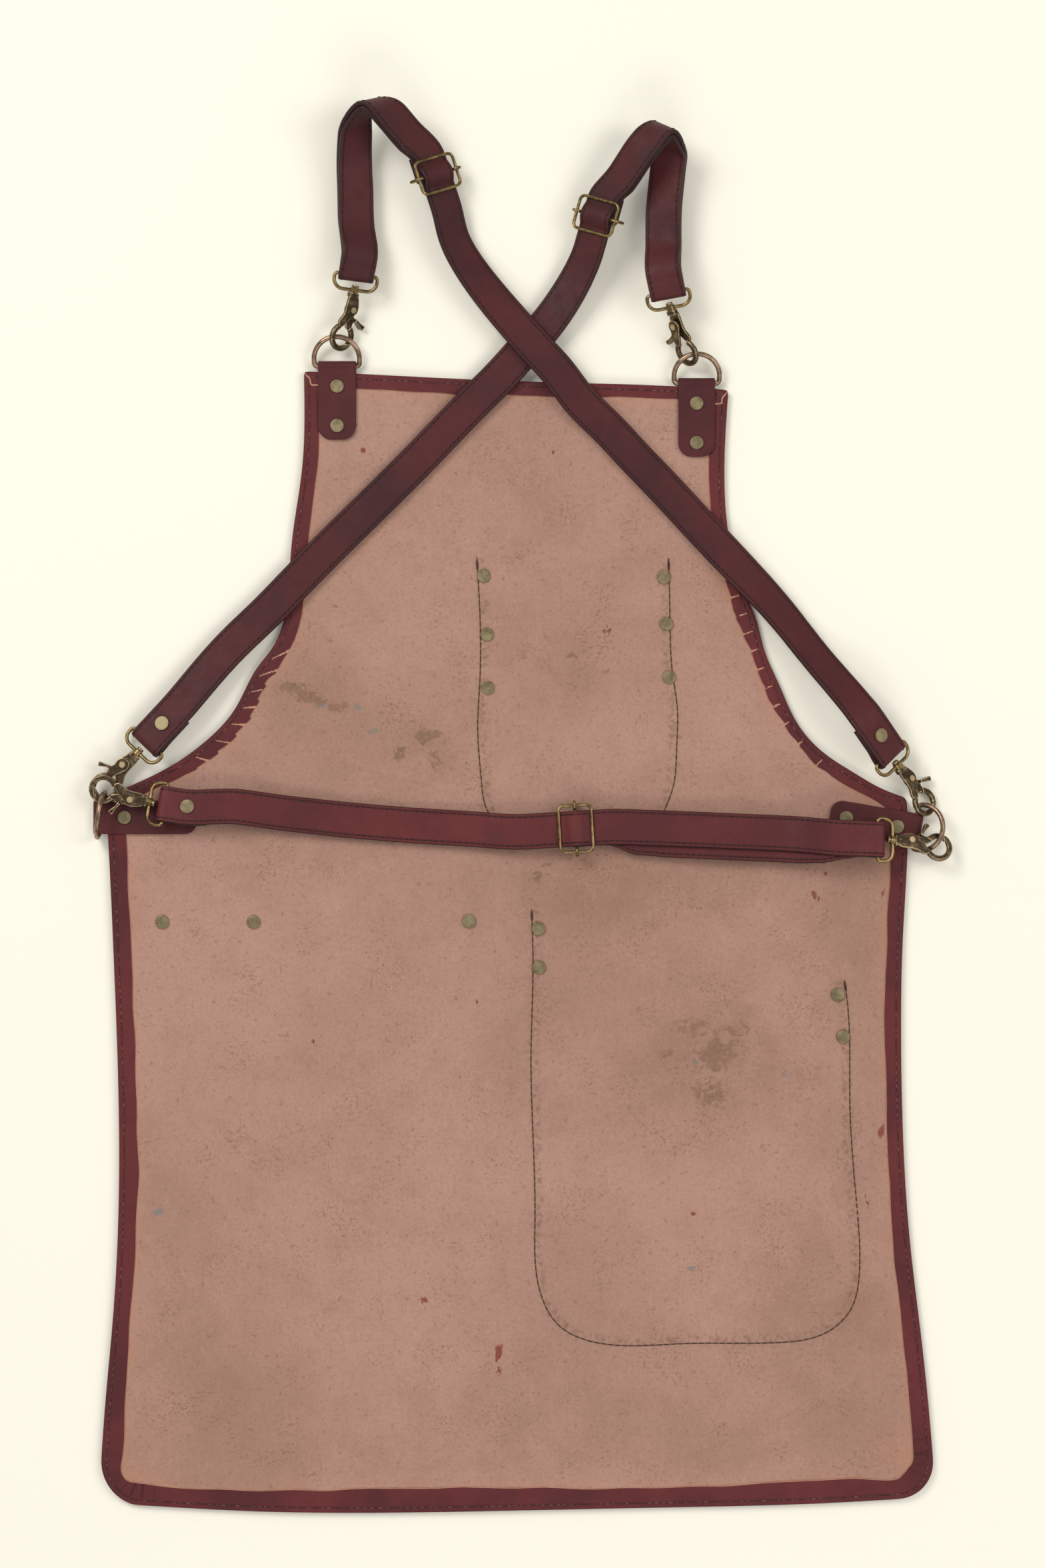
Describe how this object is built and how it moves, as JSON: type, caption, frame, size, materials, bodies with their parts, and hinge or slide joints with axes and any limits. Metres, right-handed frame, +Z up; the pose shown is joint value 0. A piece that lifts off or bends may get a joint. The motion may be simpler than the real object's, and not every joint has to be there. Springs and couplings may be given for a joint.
{
  "type": "leather butcher apron",
  "caption": "Full-length leather work apron laid flat, crossed shoulder straps and waist strap clipped to D-rings with swivel snap hooks, wire slides and riveted patch pockets.",
  "frame": {"origin": "on the table, under the middle of the laid-out apron", "axes": "+Z up, away from the table; +Y from the hem towards the bib; +X to the right as seen from above"},
  "size_m": [0.6304, 1.0326, 0.0507],
  "materials": {
    "hide": "flesh side, matt",
    "grain": "satin grain side",
    "strap": "satin",
    "tab": "satin",
    "brass": "antique",
    "ring_brass": "antique, coppery",
    "spring_steel": "dull"
  },
  "bodies": {
    "apron": {"apron_panel": "hide", "chest_pocket": "grain", "lower_pocket": "grain", "tool_loop": "grain", "bib_tab_left": "tab", "bib_tab_right": "tab", "waist_tab_left": "tab", "waist_tab_right": "tab", "shoulder_strap_left": "strap", "shoulder_strap_right": "strap", "waist_strap": "strap", "tab_rivets": "brass", "chest_pocket_rivets": "brass", "lower_pocket_rivets": "brass", "tool_loop_rivets": "brass", "strap_end_rivets": "brass", "swivel_loop_bib_left": "brass", "swivel_loop_bib_right": "brass", "swivel_loop_left_shoulder": "brass", "swivel_loop_left_waist": "brass", "swivel_loop_right_shoulder": "brass", "swivel_loop_right_waist": "brass"},
    "ring_bib_left": {"d_ring_bib_left": "ring_brass"},
    "ring_bib_right": {"d_ring_bib_right": "ring_brass"},
    "ring_waist_left": {"d_ring_waist_left": "ring_brass"},
    "ring_waist_right": {"d_ring_waist_right": "ring_brass"},
    "hook_bib_left": {"hook_body_bib_left": "brass", "hook_pivot_bib_left": "brass", "hook_spring_bib_left": "spring_steel"},
    "lever_bib_left": {"hook_lever_bib_left": "brass"},
    "hook_bib_right": {"hook_body_bib_right": "brass", "hook_pivot_bib_right": "brass", "hook_spring_bib_right": "spring_steel"},
    "lever_bib_right": {"hook_lever_bib_right": "brass"},
    "hook_left_shoulder": {"hook_body_left_shoulder": "brass", "hook_pivot_left_shoulder": "brass", "hook_spring_left_shoulder": "spring_steel"},
    "lever_left_shoulder": {"hook_lever_left_shoulder": "brass"},
    "hook_left_waist": {"hook_body_left_waist": "brass", "hook_pivot_left_waist": "brass", "hook_spring_left_waist": "spring_steel"},
    "lever_left_waist": {"hook_lever_left_waist": "brass"},
    "hook_right_shoulder": {"hook_body_right_shoulder": "brass", "hook_pivot_right_shoulder": "brass", "hook_spring_right_shoulder": "spring_steel"},
    "lever_right_shoulder": {"hook_lever_right_shoulder": "brass"},
    "hook_right_waist": {"hook_body_right_waist": "brass", "hook_pivot_right_waist": "brass", "hook_spring_right_waist": "spring_steel"},
    "lever_right_waist": {"hook_lever_right_waist": "brass"},
    "slider_shoulder_left": {"slide_frame_shoulder_left": "brass", "slide_bar_shoulder_left": "brass", "strap_end_shoulder_left": "strap"},
    "slider_shoulder_right": {"slide_frame_shoulder_right": "brass", "slide_bar_shoulder_right": "brass", "strap_end_shoulder_right": "strap"},
    "slider_waist": {"slide_frame_waist": "brass", "slide_bar_waist": "brass", "strap_end_waist": "strap"}
  },
  "joints": [
    {"name": "ring_bib_left", "type": "hinge", "parent": "apron", "child": "ring_bib_left", "pos_m": [-0.13483, 0.32326, 0.0041], "axis": [-1, 0, 0], "range_deg": [-2, 0.7]},
    {"name": "ring_bib_right", "type": "hinge", "parent": "apron", "child": "ring_bib_right", "pos_m": [0.12872, 0.31081, 0.0041], "axis": [-1, 0, 0], "range_deg": [-2, 1.9]},
    {"name": "ring_waist_left", "type": "hinge", "parent": "apron", "child": "ring_waist_left", "pos_m": [-0.30717, -0.00512, 0.0041], "axis": [-0.153, -0.9882, 0], "range_deg": [-2.5, 1.9]},
    {"name": "ring_waist_right", "type": "hinge", "parent": "apron", "child": "ring_waist_right", "pos_m": [0.2892, -0.01391, 0.0041], "axis": [0.156, 0.9878, 0], "range_deg": [-2.5, 0.5]},
    {"name": "swivel_bib_left", "type": "hinge", "parent": "apron", "child": "hook_bib_left", "pos_m": [-0.12133, 0.37721, 0.017], "axis": [-0.2754, -0.9498, -0.1485], "range_deg": [-2.5, 1.25]},
    {"name": "lever_bib_left", "type": "hinge", "parent": "hook_bib_left", "child": "lever_bib_left", "pos_m": [-0.1238, 0.36352, 0.01352], "axis": [-0.6337, 0.2955, -0.7149], "range_deg": [0, 4], "stiffness_Nm_per_rad": 0.02, "springref_deg": -20.05},
    {"name": "swivel_bib_right", "type": "hinge", "parent": "apron", "child": "hook_bib_right", "pos_m": [0.10884, 0.36381, 0.022], "axis": [0.3546, -0.8948, -0.2713], "range_deg": [-3, 4.5]},
    {"name": "lever_bib_right", "type": "hinge", "parent": "hook_bib_right", "child": "lever_bib_right", "pos_m": [0.11261, 0.35108, 0.01659], "axis": [-0.69, -0.4463, 0.5698], "range_deg": [0, 4.5], "stiffness_Nm_per_rad": 0.02, "springref_deg": -20.05},
    {"name": "swivel_left_shoulder", "type": "hinge", "parent": "apron", "child": "hook_left_shoulder", "pos_m": [-0.27995, 0.04047, 0.0111], "axis": [-0.6844, -0.729, -0.0114], "range_deg": [-4, 3.5]},
    {"name": "lever_left_shoulder", "type": "hinge", "parent": "hook_left_shoulder", "child": "lever_left_shoulder", "pos_m": [-0.29113, 0.03148, 0.01095], "axis": [-0.0027, -0.0131, 0.9999], "range_deg": [0, 10], "stiffness_Nm_per_rad": 0.02, "springref_deg": -20.05},
    {"name": "swivel_left_waist", "type": "hinge", "parent": "apron", "child": "hook_left_waist", "pos_m": [-0.27082, 0.00401, 0.0157], "axis": [-0.961, 0.2766, -0.0057], "range_deg": [-4, 4.5]},
    {"name": "lever_left_waist", "type": "hinge", "parent": "hook_left_waist", "child": "lever_left_waist", "pos_m": [-0.28502, 0.00602, 0.01552], "axis": [0.0195, 0.047, -0.9987], "range_deg": [0, 1.5], "stiffness_Nm_per_rad": 0.02, "springref_deg": -20.05},
    {"name": "swivel_right_shoulder", "type": "hinge", "parent": "apron", "child": "hook_right_shoulder", "pos_m": [0.27441, 0.0308, 0.01781], "axis": [0.5868, -0.7608, -0.2773], "range_deg": [-4, 6.5]},
    {"name": "lever_right_shoulder", "type": "hinge", "parent": "hook_right_shoulder", "child": "lever_right_shoulder", "pos_m": [0.2839, 0.02127, 0.01284], "axis": [-0.5663, -0.1407, -0.8121], "range_deg": [0, 6.5], "stiffness_Nm_per_rad": 0.02, "springref_deg": -20.05},
    {"name": "swivel_right_waist", "type": "hinge", "parent": "apron", "child": "hook_right_waist", "pos_m": [0.27065, -0.02357, 0.0199], "axis": [0.9705, -0.1503, -0.1886], "range_deg": [-4, 4.25]},
    {"name": "lever_right_waist", "type": "hinge", "parent": "hook_right_waist", "child": "lever_right_waist", "pos_m": [0.28459, -0.02383, 0.01655], "axis": [-0.2276, -0.3125, -0.9222], "range_deg": [0, 5.25], "stiffness_Nm_per_rad": 0.02, "springref_deg": -20.05},
    {"name": "slide_shoulder_left", "type": "slide", "parent": "apron", "child": "slider_shoulder_left", "axis": [0.3133, -0.941, -0.1276], "range_m": [0, 0.009]},
    {"name": "slide_shoulder_right", "type": "slide", "parent": "apron", "child": "slider_shoulder_right", "axis": [-0.2713, -0.9498, -0.1557], "range_m": [0, 0.009]},
    {"name": "slide_waist", "type": "slide", "parent": "apron", "child": "slider_waist", "axis": [-0.9981, -0.0599, -0.014], "range_m": [0, 0.02]}
  ]
}
